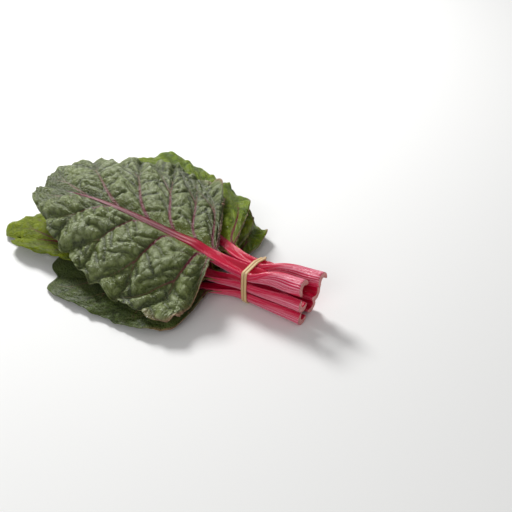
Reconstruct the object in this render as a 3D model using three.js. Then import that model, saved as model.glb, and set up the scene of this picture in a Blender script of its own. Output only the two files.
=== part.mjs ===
// A bunch of red-stalked Swiss chard lying on its side, held by a rubber band wound twice round the stalks.
// Millimetres, +Z up. The leaf tips point along -X and the cut ends of the stalks along +X.
// Each leaf is two solids: the stalk with its midrib, and the blade, a thin sheet with a slot for the midrib.
// The blades are laid one on another: a leaf keeps its own arched shape, and is pushed up wherever a lower one
// is in its way.
import * as THREE from "three";

// Stalk
const TIE_TO_BLADE = 30; // from the band to where the blade's narrow wing starts along the stalk
const TIE_TO_LOBES = 52; // from the band to where the blade opens out to its full width
const WING_WIDTH = 5; // of the blade's wing where it meets the lobes
const CHANNEL = 0.36; // depth of the stalk's channel, as a share of the stalk's depth
const CHANNEL_RUN = 150; // the channel has flattened out this far from the band
const FAN_RUN = 26; // the stalks turn from parallel to fanned over this length
const MIDRIB_END = 7; // the midrib stops this far short of the end of its slot
const STALK_END = 70; // sections of the stalk are closer together up to this far from the band
const STALK_SECTIONS = [10, 9]; // number of them before and after that

// Blade
const SHEET = 1.0; // thickness
const FIT = 0.4; // room between the midrib and its slot
const AIR = 2.7; // height of one sheet's top above the sheet below it
const OPENING = 3.2; // how suddenly the blade opens out from its wing
const OPENING_ROWS = [-12, -6, -2, 2, 6, 11]; // rows round the place where it opens out
const ROWS = 12; // from there to the tip
const SHARES = [0, 0.13, 0.28, 0.44, 0.6, 0.76, 0.9, 1]; // points of a row from the midrib to the margin
const LENGTHS = [0.93, 0.35, -0.74]; // length of the rows: at the lobes, and what is added towards the tip
const TURN = 0.5; // how early the rows turn from sideways to straight on; less is later
const BEND = 0.12; // share of its angle that a row loses on its way to the margin
const DRAPE = 3; // softness of the fold where one leaf rests on another
const FULLER = [1.9, -0.9]; // how much fuller the far part of a blade is on its +Y and -Y side
const SUPPORT_RUN = [2, 64]; // the leaves come to rest on each other between these distances from the band
const SUPPORT_EDGE = [1.08, 1.28]; // a leaf stops holding others up between these shares of its own reach
const SQUARENESS = 5; // of that reach, from 2 for an ellipse
const FULL_WIDTH = 90; // distance from the midrib at which the droop of a side is stated
const ARCH = 5; // rise of each half of the blade between the midrib and the margin
const ARCH_RUN = [20, 90]; // the arch grows between these distances from the band
const RIDGE_RUN = 34; // width of the ridge that a midrib raises in its own blade

// Band
const STRAND = { width: 2.8, thick: 1.3 };
const STRAND_ROOM = 0.4; // between the stalks and the strand
const STRAND_SECTIONS = 88; // in its two turns
const STRAND_OUTLINE = [
  [-0.5, -0.3], [-0.3, -0.5], [0.3, -0.5], [0.5, -0.3],
  [0.5, 0.3], [0.3, 0.5], [-0.3, 0.5], [-0.5, 0.3],
]; // shares of its width and of its thickness
const BAND_REACH = 14; // the stalks are held this far to each side of the middle of the band
const STRAND_STEP = 1.6; // half the distance between the middles of its two turns
const CROSSING = 1.7; // height of one turn above the other where they cross
const CROSSING_RUN = [45, 85]; // degrees to each side of the crossing where the turns part, and are both down

// The leaves from the lowest to the topmost. Angles are in degrees, and the rest in millimetres.
//   fan     direction of the leaf from -X, positive towards +Y
//   seat    where the top of the stalk passes through the band: across, and height
//   cut     length of stalk on the far side of the band
//   splay   how far the cut end has moved out of line with its seat: across, and height
//   end     distance from the band to the end of the midrib
//   tip     blade beyond the end of the midrib
//   half    width of the blade on its +Y side and its -Y side
//   sweep   angle of its lowest veins to the midrib, on the same two sides
//   crown   heights that shape its arch from the band to the tip
//   droop   how far its +Y and -Y margins hang below the midrib
//   stalk   width and depth of the stalk at the band
//   roll    how far the stalk has twisted, in the band and at the cut end; positive turns the channel to -Y
const LEAVES = [
  { fan: 22, seat: [8.4, 13.9], cut: 62, splay: [3.5, 0], end: 186, tip: 36, half: [70, 78],
    sweep: [96, 86], crown: [13.9, 9, 12, 12, 3], droop: [8, 6], stalk: [14.5, 10], roll: [14, 45] },
  { fan: -24, seat: [-8.4, 13.9], cut: 64, splay: [-3.5, -0.5], end: 178, tip: 30, half: [72, 78],
    sweep: [86, 98], crown: [13.9, 8, 10, 10, 2], droop: [4, 8], stalk: [14.5, 10], roll: [-14, -45] },
  { fan: 10, seat: [8.9, 25.8], cut: 66, splay: [4, 4], end: 218, tip: 36, half: [80, 74],
    sweep: [92, 92], crown: [25.8, 16, 20, 22, 8], droop: [8, 10], stalk: [15, 10], roll: [10, 35] },
  { fan: -12, seat: [-8.7, 26], cut: 65, splay: [-4.5, 4.5], end: 248, tip: 40, half: [76, 68],
    sweep: [88, 96], crown: [26, 16, 22, 26, 6], droop: [6, 18], stalk: [15, 10], roll: [-14, -45] },
  { fan: 19, seat: [9.6, 38.2], cut: 71, splay: [4.5, 11.5], end: 216, tip: 38, half: [84, 76],
    sweep: [70, 88], crown: [38.2, 30, 38, 46, 30], droop: [8, 16], stalk: [15, 10], roll: [-14, -165] },
  { fan: 0, seat: [-7.1, 38.9], cut: 63, splay: [-2, 12], end: 240, tip: 36, half: [108, 92],
    sweep: [78, 116], crown: [38.9, 40, 58, 60, 44], droop: [6, 46], stalk: [16, 10.5], roll: [4, -150] },
];

const radians = THREE.MathUtils.degToRad;
const clamp = THREE.MathUtils.clamp;
const smooth = (x, from, to) => THREE.MathUtils.smoothstep(x, Math.min(from, to), Math.max(from, to));
const softMax = (a, b) => (a + b + Math.sqrt((a - b) ** 2 + DRAPE ** 2)) / 2;

// ---- Where a leaf lies, seen from above ----

// The turn from parallel stalks to the fan: none at the band, and growing evenly after it.
function hinge(along) {
  if (along <= 0) return 0;
  return along < FAN_RUN ? along ** 2 / (2 * FAN_RUN) : along - FAN_RUN / 2;
}

// Where the line of a leaf's midrib would cross the band if the leaf had no turn.
function lineOrigin(leaf) {
  return leaf.seat[0] - (Math.tan(radians(leaf.fan)) * FAN_RUN) / 2;
}

// A plan point (x, y) of a leaf from its distance along the midrib and across it.
function planPoint(leaf, along, across) {
  const fan = radians(leaf.fan);
  return [
    -along * Math.cos(fan) + across * Math.sin(fan),
    lineOrigin(leaf) + along * Math.sin(fan) + across * Math.cos(fan),
  ];
}

// The reverse: distance along a leaf's midrib and across it, for a plan point.
function leafPoint(leaf, x, y) {
  const fan = radians(leaf.fan);
  const dy = y - lineOrigin(leaf);
  return [-x * Math.cos(fan) + dy * Math.sin(fan), x * Math.sin(fan) + dy * Math.cos(fan)];
}

// 1 over a leaf's blade, and 0 a little outside it. It grows slowly along the stalk.
function presence(leaf, x, y) {
  const [along, across] = leafPoint(leaf, x, y);
  const far = leaf.end + leaf.tip;
  const side = across > 0 ? leaf.half[0] : leaf.half[1];
  const lengthwise = Math.max(along / far, 0);
  const crosswise = Math.abs(across) / side;
  const reach = (lengthwise ** SQUARENESS + crosswise ** SQUARENESS) ** (1 / SQUARENESS);
  return smooth(along, ...SUPPORT_RUN) * (1 - smooth(reach, ...SUPPORT_EDGE));
}

// ---- How high a leaf lies ----

// Half the width of the midrib's upper face, and its depth.
function stalkHalf(leaf, along) {
  const run = clamp(along / leaf.end, 0, 1);
  return (leaf.stalk[0] / 2) * (1 - run) ** 1.1 + 0.8;
}
function stalkDepth(leaf, along) {
  const run = clamp(along / leaf.end, 0, 1);
  return leaf.stalk[1] * (1 - run) ** 2 + 1.0;
}

// A curve through the band and the tip, drawn towards the crown heights between.
function crownHeight(leaf, along) {
  const length = leaf.end + leaf.tip;
  const t = Math.min(along / length, 1.1);
  const weights = [1, 4, 6, 4, 1];
  return leaf.crown.reduce((sum, height, i) => sum + height * weights[i] * (1 - t) ** (4 - i) * t ** i, 0);
}

// A leaf's own arched shape, before it rests on anything.
function ownHeight(leaf, along, across) {
  const out = Math.abs(across) / FULL_WIDTH;
  const droop = across > 0 ? leaf.droop[0] : leaf.droop[1];
  const opened = smooth(along, ...ARCH_RUN);
  return crownHeight(leaf, along) + opened * ARCH * Math.sin(Math.PI * Math.min(out, 1)) - droop * out * out;
}

// Room that the midrib takes under its own blade.
function ridge(leaf, along, across) {
  const beyond = Math.max(Math.abs(across) - stalkHalf(leaf, along), 0) / RIDGE_RUN;
  return beyond < 1 ? stalkDepth(leaf, along) * (1 - beyond * beyond) ** 2 : 0;
}

// The top of a leaf's sheet: its own shape, lifted over every lower leaf and over the surface below the bunch.
function sheetHeight(index, x, y) {
  const leaf = LEAVES[index];
  const [along, across] = leafPoint(leaf, x, y);
  const room = ridge(leaf, along, across);
  let height = ownHeight(leaf, along, across);
  for (let lower = 0; lower < index; lower++) {
    const here = presence(LEAVES[lower], x, y);
    if (here > 0) height = softMax(height, here * (sheetHeight(lower, x, y) + AIR + room));
  }
  return Math.max(height, SHEET + room);
}

// ---- Meshes ----

// A closed body from rings of equal length: a loop, or with each end closed by a fan of faces round a hub.
function bodyFromRings(rings, hubs = []) {
  const around = rings[0].length;
  const count = hubs.length ? rings.length - 1 : rings.length;
  const faces = [];
  for (let i = 0; i < count; i++) {
    for (let j = 0; j < around; j++) {
      const next = ((i + 1) % rings.length) * around;
      const [a, b] = [i * around + j, i * around + ((j + 1) % around)];
      const [c, d] = [next + j, next + ((j + 1) % around)];
      faces.push(a, b, d, a, d, c);
    }
  }
  hubs.forEach((_, end) => {
    const hub = rings.length * around + end;
    const first = end ? (rings.length - 1) * around : 0;
    for (let j = 0; j < around; j++) {
      const [a, b] = [first + j, first + ((j + 1) % around)];
      faces.push(hub, end ? a : b, end ? b : a);
    }
  });
  return facingOut([...rings.flat(2), ...hubs.flat()], faces);
}

// A geometry whose faces point outwards, whichever way its rings ran.
function facingOut(positions, faces) {
  const at = (i) => new THREE.Vector3().fromArray(positions, 3 * i);
  let volume = 0;
  for (let i = 0; i < faces.length; i += 3) {
    volume += at(faces[i]).dot(at(faces[i + 1]).cross(at(faces[i + 2])));
  }
  if (volume < 0) faces.reverse();
  const geometry = new THREE.BufferGeometry();
  geometry.setAttribute("position", new THREE.Float32BufferAttribute(positions, 3));
  geometry.setIndex(faces);
  geometry.computeVertexNormals();
  return geometry;
}

// ---- Blade ----

// Places along the midrib where rows of the blade start: close together where it opens out, then evenly.
function rowStarts(leaf) {
  const starts = [TIE_TO_BLADE, ...OPENING_ROWS.map((step) => TIE_TO_LOBES + step)];
  const first = starts.at(-1);
  for (let i = 1; i <= ROWS; i++) {
    const t = i / ROWS;
    starts.push(first + (leaf.end - MIDRIB_END - first) * t * (1.4 - 0.4 * t));
  }
  return [...starts, leaf.end];
}

// Share of the way from the lobes to the end of the midrib.
function runAt(leaf, along) {
  return clamp((along - TIE_TO_LOBES) / (leaf.end - TIE_TO_LOBES), 0, 1);
}

// Length of a row, from the midrib to the margin.
function rowLength(leaf, start, half, side) {
  const t = runAt(leaf, start);
  const [atLobes, slope, curve] = LENGTHS;
  const fuller = 1 + FULLER[side > 0 ? 0 : 1] * t * t * (1 - t);
  const body = half * (atLobes + slope * t + curve * t * t) * fuller;
  const opened = 1 / (1 + Math.exp((TIE_TO_LOBES - start) / OPENING));
  const wing = 1.5 + WING_WIDTH * clamp((start - TIE_TO_BLADE) / (TIE_TO_LOBES - TIE_TO_BLADE), 0, 1) ** 2;
  const atTip = (leaf.tip / (half * (atLobes + slope + curve))) * t ** 6 + (1 - t ** 6);
  return wing * (1 - opened) + body * opened * atTip;
}

// A point of the blade, by its row and its share of the way from the midrib to the margin.
function bladePlan(leaf, start, share, side) {
  const half = side > 0 ? leaf.half[0] : leaf.half[1];
  const sweep = side > 0 ? leaf.sweep[0] : leaf.sweep[1];
  const angle = radians(sweep) * (1 - runAt(leaf, start)) ** TURN * (1 - BEND * share);
  const length = share * rowLength(leaf, start, half, side);
  const slot = (stalkHalf(leaf, start) + FIT) * clamp((leaf.end - start) / MIDRIB_END, 0, 1);
  return planPoint(leaf, start + length * Math.cos(angle), side * (slot + length * Math.sin(angle)));
}

function bladeGeometry(index) {
  const leaf = LEAVES[index];
  const starts = rowStarts(leaf);
  const rows = [...starts.map((s) => [s, -1]), ...starts.slice(0, -1).reverse().map((s) => [s, 1])];
  const rings = rows.map(([start, side]) => {
    const top = SHARES.map((share) => {
      const [x, y] = bladePlan(leaf, start, share, side);
      return [x, y, sheetHeight(index, x, y)];
    });
    const under = top.map(([x, y, z]) => [x, y, z - SHEET]).reverse();
    return [...top, ...under];
  });
  return bodyFromSheet(rings);
}

// As bodyFromRings, but each ring is a strip's two faces, so an end is closed by quads from face to face.
function bodyFromSheet(rings) {
  const around = rings[0].length;
  const positions = rings.flat(2);
  const faces = [];
  for (let i = 0; i < rings.length - 1; i++) {
    for (let j = 0; j < around; j++) {
      const [a, b] = [i * around + j, i * around + ((j + 1) % around)];
      faces.push(a, b, b + around, a, b + around, a + around);
    }
  }
  for (const first of [0, (rings.length - 1) * around]) {
    for (let j = 0; j < around / 2 - 1; j++) {
      const [a, b, c, d] = [first + j, first + j + 1, first + around - 2 - j, first + around - 1 - j];
      if (first === 0) faces.push(a, c, b, a, d, c);
      else faces.push(a, b, c, a, c, d);
    }
  }
  return facingOut(positions, faces);
}

// ---- Stalk ----

// The outline of a stalk across its length: a channel between two lips above, and a round back below.
// Each entry is a share of half the width, a share of the channel's depth and a share of the stalk's depth.
const OUTLINE = [
  [-0.93, 0, 0], [-0.5, 0.8, 0], [0, 1, 0], [0.5, 0.8, 0], [0.93, 0, 0],
  [1, 0, 0.3], [0.82, 0, 0.68], [0.45, 0, 0.94], [0, 0, 1], [-0.45, 0, 0.94], [-0.82, 0, 0.68], [-1, 0, 0.3],
];
const CHANNEL_POINT = 2; // the entry at the bottom of the channel
const BACK_POINT = 8; // the entry in the middle of the back

// The middle of a stalk's upper face.
function stalkPath(index, along) {
  const leaf = LEAVES[index];
  const fan = radians(leaf.fan);
  if (along < 0) {
    const out = -along / leaf.cut;
    return [-along, leaf.seat[0] + out * leaf.splay[0], leaf.seat[1] + out * leaf.splay[1]];
  }
  const x = -along * Math.cos(fan);
  const y = leaf.seat[0] + Math.tan(fan) * hinge(-x);
  return [x, y, sheetHeight(index, x, y)];
}

// The twist of a stalk: none where the blade opens out, and growing to the band and on to the cut end.
function rollAt(leaf, along) {
  const [inBand, atCut] = leaf.roll;
  return inBand * (1 - smooth(along, 0, TIE_TO_LOBES)) + (atCut - inBand) * smooth(-along, 0, leaf.cut);
}

// Places along a stalk, from its cut end to where the midrib stops.
function stalkStations(leaf) {
  const [close, wide] = STALK_SECTIONS;
  const last = leaf.end - MIDRIB_END - 2;
  const stations = [];
  for (let i = 0; i <= close; i++) {
    stations.push(-leaf.cut + (i / close) * (leaf.cut + STALK_END));
  }
  for (let i = 1; i <= wide; i++) {
    stations.push(STALK_END + (i / wide) * (last - STALK_END));
  }
  return stations;
}

// The outline of a stalk at one place along it.
function stalkRing(index, along) {
  const leaf = LEAVES[index];
  const [x, y, z] = stalkPath(index, along);
  const half = stalkHalf(leaf, along);
  const depth = stalkDepth(leaf, along);
  const channel = CHANNEL * depth * (1 - smooth(along, 0, CHANNEL_RUN));
  const roll = radians(rollAt(leaf, along));
  const heading = radians(leaf.fan) * clamp(along / FAN_RUN, 0, 1);
  return OUTLINE.map(([wide, hollow, deep]) => {
    const side = wide * half;
    const up = depth / 2 - hollow * channel - deep * depth;
    const across = side * Math.cos(roll) - up * Math.sin(roll);
    const rise = side * Math.sin(roll) + up * Math.cos(roll);
    return [x + across * Math.sin(heading), y + across * Math.cos(heading), z - depth / 2 + rise];
  });
}

function stalkGeometry(index) {
  const rings = stalkStations(LEAVES[index]).map((along) => stalkRing(index, along));
  const hub = (ring) => ring[CHANNEL_POINT].map((value, axis) => (value + ring[BACK_POINT][axis]) / 2);
  return bodyFromRings(rings, [hub(rings[0]), hub(rings.at(-1))]);
}

// ---- Band ----

// The points of the stalks that the band may touch: across the bunch, and height.
function heldPoints(stalks) {
  const points = [];
  for (const mesh of stalks) {
    const at = mesh.geometry.getAttribute("position");
    for (let i = 0; i < at.count; i++) {
      if (Math.abs(at.getX(i)) < BAND_REACH) points.push([at.getY(i), at.getZ(i)]);
    }
  }
  return points;
}

// Stretches the band round the stalks, in two turns that cross once, at the +Y side.
function bandGeometry(stalks) {
  const held = heldPoints(stalks);
  const [parted, down] = CROSSING_RUN.map((angle) => radians(angle / 2));
  const rings = [];
  for (let i = 0; i < STRAND_SECTIONS; i++) {
    const turn = (i / STRAND_SECTIONS) * 4 * Math.PI;
    const [ny, nz] = [Math.cos(turn), Math.sin(turn)];
    const reach = ([y, z]) => y * ny + z * nz;
    const [y, z] = held.reduce((best, point) => (reach(point) > reach(best) ? point : best));
    const step = STRAND_STEP * clamp(Math.sin(turn / 2) / Math.sin(parted), -1, 1);
    const rise = CROSSING * smooth(Math.cos(turn / 2), Math.cos(down), Math.cos(parted));
    const out = STRAND.thick / 2 + STRAND_ROOM + rise;
    rings.push(STRAND_OUTLINE.map(([wide, high]) => {
      const r = out + high * STRAND.thick;
      return [step + wide * STRAND.width, y + r * ny, z + r * nz];
    }));
  }
  return bodyFromRings(rings);
}

// ---- The bunch ----

const STALK_RED = new THREE.MeshStandardMaterial({ color: 0xa8163a, roughness: 0.4, metalness: 0 });
const LEAF_GREEN = new THREE.MeshStandardMaterial({ color: 0x4f6b3c, roughness: 0.45, metalness: 0 });
const BAND_TAN = new THREE.MeshStandardMaterial({ color: 0xd2b07a, roughness: 0.6, metalness: 0 });

function named(name, geometry, material) {
  const mesh = new THREE.Mesh(geometry, material);
  mesh.name = name;
  return mesh;
}

const bunch = new THREE.Group();
const stalks = LEAVES.map((leaf, i) => named(`stalk_${i + 1}`, stalkGeometry(i), STALK_RED));
const blades = LEAVES.map((leaf, i) => named(`blade_${i + 1}`, bladeGeometry(i), LEAF_GREEN));
bunch.add(...stalks, ...blades, named("rubber_band", bandGeometry(stalks), BAND_TAN));

// The origin is the middle of the bunch's footprint, on the surface that it lies on.
const box = new THREE.Box3().setFromObject(bunch, true);
const middle = box.getCenter(new THREE.Vector3());
bunch.position.set(-middle.x, -middle.y, -box.min.z);

export default bunch;
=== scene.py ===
"""A bunch of red-stalked Swiss chard lying on its side, held by a rubber band.

The leaf table is in millimetres in the bunch's own axes: the band is at x = 0, the cut ends of the stalks lie
along +x and the leaf tips along -x. Meshes are made in metres in the row frame, which is those axes moved by
SHIFT.
"""

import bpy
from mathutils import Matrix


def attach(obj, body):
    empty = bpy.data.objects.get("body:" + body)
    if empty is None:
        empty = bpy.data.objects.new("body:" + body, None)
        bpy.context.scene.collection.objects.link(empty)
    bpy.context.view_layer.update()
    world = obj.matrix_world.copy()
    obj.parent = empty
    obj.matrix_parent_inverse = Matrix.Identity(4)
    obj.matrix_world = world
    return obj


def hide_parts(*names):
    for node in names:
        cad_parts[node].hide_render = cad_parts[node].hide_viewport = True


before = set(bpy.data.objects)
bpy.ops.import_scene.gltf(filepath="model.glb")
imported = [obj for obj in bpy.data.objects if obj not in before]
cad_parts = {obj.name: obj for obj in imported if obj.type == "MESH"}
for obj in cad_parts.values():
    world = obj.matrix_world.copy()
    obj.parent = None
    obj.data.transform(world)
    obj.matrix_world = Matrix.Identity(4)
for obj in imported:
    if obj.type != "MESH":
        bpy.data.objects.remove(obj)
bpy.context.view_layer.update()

import logging
import math
from dataclasses import dataclass
from enum import Enum

import bpy
import numpy as np
from mathutils import Vector
from mathutils.kdtree import KDTree

log = logging.getLogger("chard")
Array = np.ndarray
Colour = tuple[float, float, float]

MM = 0.001
SHIFT = np.array([105.4128, -10.6016, -0.6573])  # from the bunch's own axes to the row frame, in millimetres

FAN_RUN = 26.0  # the stalks turn from parallel to fanned over this length
SUPPORT_RUN = (2.0, 64.0)  # the leaves come to rest on each other between these distances from the band
SUPPORT_EDGE = (1.08, 1.28)  # a leaf stops holding others up between these shares of its own reach
SQUARENESS = 5  # of that reach, from 2 for an ellipse
TIE_TO_BLADE = 30.0  # from the band to where the blade's wing starts along the stalk
TIE_TO_LOBES = 52.0  # from the band to where the blade has opened out
SHEET = 1.0  # thickness that the pile allows for a blade
AIR = 2.7  # height of one sheet's top above the sheet below it
DRAPE = 3.0  # softness of the fold where one leaf rests on another
FULL_WIDTH = 90.0  # distance from the midrib at which the droop of a side is stated
ARCH = 5.0  # rise of each half of a blade between the midrib and the margin
ARCH_RUN = (20.0, 90.0)  # the arch grows between these distances from the band
RIDGE_RUN = 34.0  # width of the ridge that a midrib raises in its own blade
MIDRIB_END = 7.0  # length over which a blade's two halves close beyond the midrib
THINNEST = (0.8, 1.0)  # half the width, and the depth, of a midrib at its far end
LENGTHS = (0.93, 0.35, -0.74)  # length of a blade's rows: at the lobes, and what is added towards the tip
FULLER = (1.9, -0.9)  # how much fuller the far part of a blade is on its +y and -y side
TURN = 0.5  # how early the rows turn from sideways to straight on; less is later
BEND = 0.12  # share of its angle that a row loses on its way to the margin
WING = (0.8, 4.5)  # width of the wing where it starts on the stalk, and what it gains by the lobes
OPENING = (9.0, 10.5, 1.6)  # the blade opens out this far before the lobes, over this length, this suddenly
INSET = 0.88  # share of the midrib's half width at which the blade joins it
PRESSED = (0.72, 0.8)  # share of the relief, and of the margin's waves, that the leaves above press out
SUNK = 0.9  # depth of the sheet's valleys below the pile's smooth height
GAP = 0.35  # least room between one leaf and the next


# ---- Numbers over a surface ----


def ramp(x: Array, low: float, high: float) -> Array:
    """Returns a smooth step from 0 at low to 1 at high."""
    t = np.clip((np.asarray(x, float) - low) / (high - low), 0.0, 1.0)
    return t * t * (3.0 - 2.0 * t)


def hashed(ix: Array, iy: Array, seed: int) -> Array:
    """Returns a fixed pseudo-random number from 0 to 1 for each lattice point.

    Args:
        ix, iy: whole numbers of the lattice point.
        seed: picks one of many patterns.

    Returns:
        Numbers from 0 to 1 in the shape of ix.
    """
    mask = 0xFFFFFFFF
    n = (ix.astype(np.int64) * 374761393 + iy.astype(np.int64) * 668265263 + seed * 974634777) & mask
    n = ((n ^ (n >> 13)) * 1274126177) & mask
    n = ((n ^ (n >> 15)) * 2246822519) & mask
    return ((n ^ (n >> 16)) & mask) / mask


def waves(x: Array, y: Array, size: float, seed: int) -> Array:
    """Returns smooth random waves from -1 to 1.

    Args:
        x, y: the points.
        size: distance between crests.
        seed: picks one of many patterns.

    Returns:
        The height of the waves at each point.
    """
    gx, gy = np.asarray(x, float) / size, np.asarray(y, float) / size
    gx, gy = np.broadcast_arrays(gx, gy)
    ix, iy = np.floor(gx), np.floor(gy)
    fx, fy = gx - ix, gy - iy
    fx, fy = fx * fx * (3 - 2 * fx), fy * fy * (3 - 2 * fy)
    low = hashed(ix, iy, seed) * (1 - fx) + hashed(ix + 1, iy, seed) * fx
    high = hashed(ix, iy + 1, seed) * (1 - fx) + hashed(ix + 1, iy + 1, seed) * fx
    return 2.0 * (low * (1 - fy) + high * fy) - 1.0


def blister_edges(x: Array, y: Array, size: float, seed: int) -> Array:
    """Returns the distance to the nearest border between irregular cells.

    Args:
        x, y: the points.
        size: mean width of a cell.
        seed: picks one of many patterns.

    Returns:
        The distance in the units of x and y.
    """
    gx, gy = x / size, y / size
    ix, iy = np.floor(gx), np.floor(gy)
    nearest = np.full(gx.shape, 9.0)
    second = np.full(gx.shape, 9.0)
    for dx in (-1, 0, 1):
        for dy in (-1, 0, 1):
            cx = ix + dx + 0.15 + 0.7 * hashed(ix + dx, iy + dy, seed)
            cy = iy + dy + 0.15 + 0.7 * hashed(ix + dx, iy + dy, seed + 1)
            d = np.hypot(gx - cx, gy - cy)
            second = np.minimum(second, np.maximum(nearest, d))
            nearest = np.minimum(nearest, d)
    return (second - nearest) * size / 2


def dome(distance: Array, radius: float) -> Array:
    """Returns a dome that is 0 at distance 0 and levels off towards 1 beyond the radius."""
    return distance**2 / (distance**2 + radius**2)


def blurred(values: Array, passes: int) -> Array:
    """Returns a grid of values smoothed with its neighbours a number of times."""
    for _ in range(passes):
        padded = np.pad(values, 1, mode="edge")
        beside = padded[:-2, 1:-1] + padded[2:, 1:-1] + padded[1:-1, :-2] + padded[1:-1, 2:]
        values = (2 * padded[1:-1, 1:-1] + beside) / 6
    return values


def spread_up(values: Array, passes: int) -> Array:
    """Returns a grid where each value is the highest of itself and its neighbours, a number of times."""
    for _ in range(passes):
        padded = np.pad(values, 1, mode="edge")
        beside = [padded[:-2, 1:-1], padded[2:, 1:-1], padded[1:-1, :-2], padded[1:-1, 2:]]
        values = np.maximum.reduce([values, *beside])
    return values


def unit(vectors: Array) -> Array:
    """Returns the vectors at length 1."""
    return vectors / np.maximum(np.linalg.norm(vectors, axis=-1, keepdims=True), 1e-12)


# ---- The leaves and how they lie ----


class Tissue(Enum):
    """The finish of a leaf's blade."""

    GREY_GREEN = "grey_green"
    BRIGHT = "bright"
    YELLOW = "yellow"
    # painted shade: a darker copy of the leaf finish, for a leaf that lies in shade at the bottom front
    PAINTED_SHADE = "dark"


@dataclass(frozen=True)
class Leaf:
    """One leaf, by where it lies in the bunch and how it has grown. Angles are in degrees."""

    number: int  # from the lowest, 1, to the topmost
    fan: float  # direction from -x, positive towards +y
    seat: tuple[float, float]  # where the top of the stalk passes the band: across, and height
    cut: float  # length of stalk on the far side of the band
    splay: tuple[float, float]  # how far the cut end has moved out of line with its seat
    end: float  # from the band to the end of the midrib
    tip: float  # blade beyond the end of the midrib
    half: tuple[float, float]  # width of the blade on its +y and -y side
    sweep: tuple[float, float]  # angle of its lowest veins to the midrib, on the same sides
    crown: tuple[float, ...]  # heights that shape its arch from the band to the tip
    droop: tuple[float, float]  # how far its +y and -y margins hang below the midrib
    stalk: tuple[float, float]  # width and depth of the stalk at the band
    roll: tuple[float, float]  # twist of the stalk in the band and at the cut end
    veins: tuple[tuple[float, ...], tuple[float, ...]]  # where main veins leave the midrib, on the same sides
    tissue: Tissue
    seed: int

    def plan_point(self, along: Array, across: Array) -> tuple[Array, Array]:
        """Returns the plan position of points given along and across the midrib."""
        fan = math.radians(self.fan)
        x = -along * math.cos(fan) + across * math.sin(fan)
        return x, self.line_origin() + along * math.sin(fan) + across * math.cos(fan)

    def leaf_point(self, x: Array, y: Array) -> tuple[Array, Array]:
        """Returns distances along and across the midrib of plan positions."""
        fan = math.radians(self.fan)
        dy = y - self.line_origin()
        return -x * math.cos(fan) + dy * math.sin(fan), x * math.sin(fan) + dy * math.cos(fan)

    def line_origin(self) -> float:
        """Returns where the line of the midrib would cross the band if the stalk had no turn."""
        return self.seat[0] - math.tan(math.radians(self.fan)) * FAN_RUN / 2

    def presence(self, x: Array, y: Array) -> Array:
        """Returns 1 over the blade, 0 a little outside it, and a slow growth along the stalk."""
        along, across = self.leaf_point(x, y)
        side = np.where(across > 0, self.half[0], self.half[1])
        lengthwise = np.maximum(along / (self.end + self.tip), 0.0)
        crosswise = np.abs(across) / side
        reach = (lengthwise**SQUARENESS + crosswise**SQUARENESS) ** (1 / SQUARENESS)
        return ramp(along, *SUPPORT_RUN) * (1 - ramp(reach, *SUPPORT_EDGE))

    def stalk_half(self, along: Array) -> Array:
        """Returns half the width of the midrib's upper face."""
        run = np.clip(along / self.end, 0.0, 1.0)
        return (self.stalk[0] / 2) * (1 - run) ** 1.1 + THINNEST[0]

    def stalk_depth(self, along: Array) -> Array:
        """Returns the depth of the midrib."""
        run = np.clip(along / self.end, 0.0, 1.0)
        return self.stalk[1] * (1 - run) ** 2 + THINNEST[1]

    def own_height(self, along: Array, across: Array) -> Array:
        """Returns the leaf's own arched shape, before it rests on anything."""
        share = np.minimum(along / (self.end + self.tip), 1.1)
        weights = [math.comb(4, i) * (1 - share) ** (4 - i) * share**i for i in range(5)]
        crown = sum(weight * height for weight, height in zip(weights, self.crown))
        out = np.abs(across) / FULL_WIDTH
        droop = np.where(across > 0, self.droop[0], self.droop[1])
        arch = ramp(along, *ARCH_RUN) * ARCH * np.sin(np.pi * np.minimum(out, 1.0))
        return crown + arch - droop * out * out

    def ridge(self, along: Array, across: Array) -> Array:
        """Returns the room that the midrib takes under its own blade."""
        beyond = np.maximum(np.abs(across) - self.stalk_half(along), 0.0) / RIDGE_RUN
        return np.where(beyond < 1, self.stalk_depth(along) * (1 - np.minimum(beyond, 1) ** 2) ** 2, 0.0)


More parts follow.
